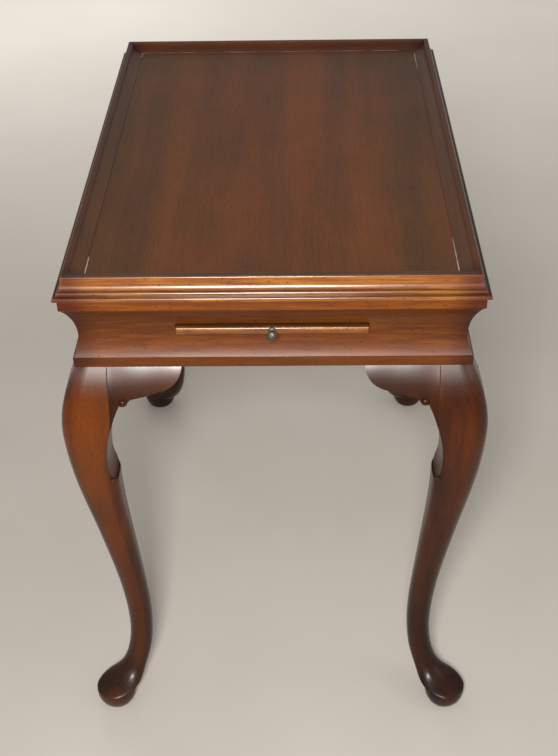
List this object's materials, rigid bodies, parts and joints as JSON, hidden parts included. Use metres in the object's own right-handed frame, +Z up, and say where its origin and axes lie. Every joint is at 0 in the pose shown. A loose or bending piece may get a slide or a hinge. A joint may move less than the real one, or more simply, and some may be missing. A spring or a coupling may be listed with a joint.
{
  "type": "tray top tea table",
  "caption": "Small rectangular tea table with a moulded tray rim, coved rails, cabriole legs on pad feet and a pull-out candle slide at each end.",
  "frame": {"origin": "middle of the table on the floor it stands on", "axes": "+Z up; Y runs along the table, with the front short end at -Y; X runs across it"},
  "size_m": [0.4792, 0.6822, 0.648],
  "materials": {
    "mahogany": "satin lacquer",
    "field_mahogany": "satin lacquer",
    "inner_wood": "bare, aged",
    "old_brass": "dull antique",
    "screw_steel": "plain"
  },
  "bodies": {
    "table": {"tray_panel": "field_mahogany", "gallery_front": "mahogany", "gallery_back": "mahogany", "gallery_left": "mahogany", "gallery_right": "mahogany", "apron_front": "mahogany", "apron_back": "mahogany", "apron_left": "mahogany", "apron_right": "mahogany", "leg_back_right": "mahogany", "knee_return_back_right_end": "mahogany", "knee_return_back_right_side": "mahogany", "corner_block_back_right": "inner_wood", "leg_back_left": "mahogany", "knee_return_back_left_end": "mahogany", "knee_return_back_left_side": "mahogany", "corner_block_back_left": "inner_wood", "leg_front_left": "mahogany", "knee_return_front_left_end": "mahogany", "knee_return_front_left_side": "mahogany", "corner_block_front_left": "inner_wood", "leg_front_right": "mahogany", "knee_return_front_right_end": "mahogany", "knee_return_front_right_side": "mahogany", "corner_block_front_right": "inner_wood", "slide_guide_left": "inner_wood", "slide_guide_right": "inner_wood", "slide_centre_stop": "inner_wood", "tray_glue_blocks": "inner_wood", "guide_screws": "screw_steel", "corner_screws": "screw_steel"},
    "front_slide": {"candle_slide_front": "mahogany", "slide_knob_front": "old_brass", "slide_cleat_front": "inner_wood"},
    "back_slide": {"candle_slide_back": "mahogany", "slide_knob_back": "old_brass", "slide_cleat_back": "inner_wood"}
  },
  "joints": [
    {"name": "front_slide_pull", "type": "slide", "parent": "table", "child": "front_slide", "axis": [0, -1, 0], "range_m": [0, 0.2]},
    {"name": "back_slide_pull", "type": "slide", "parent": "table", "child": "back_slide", "axis": [0, 1, 0], "range_m": [0, 0.2]}
  ]
}
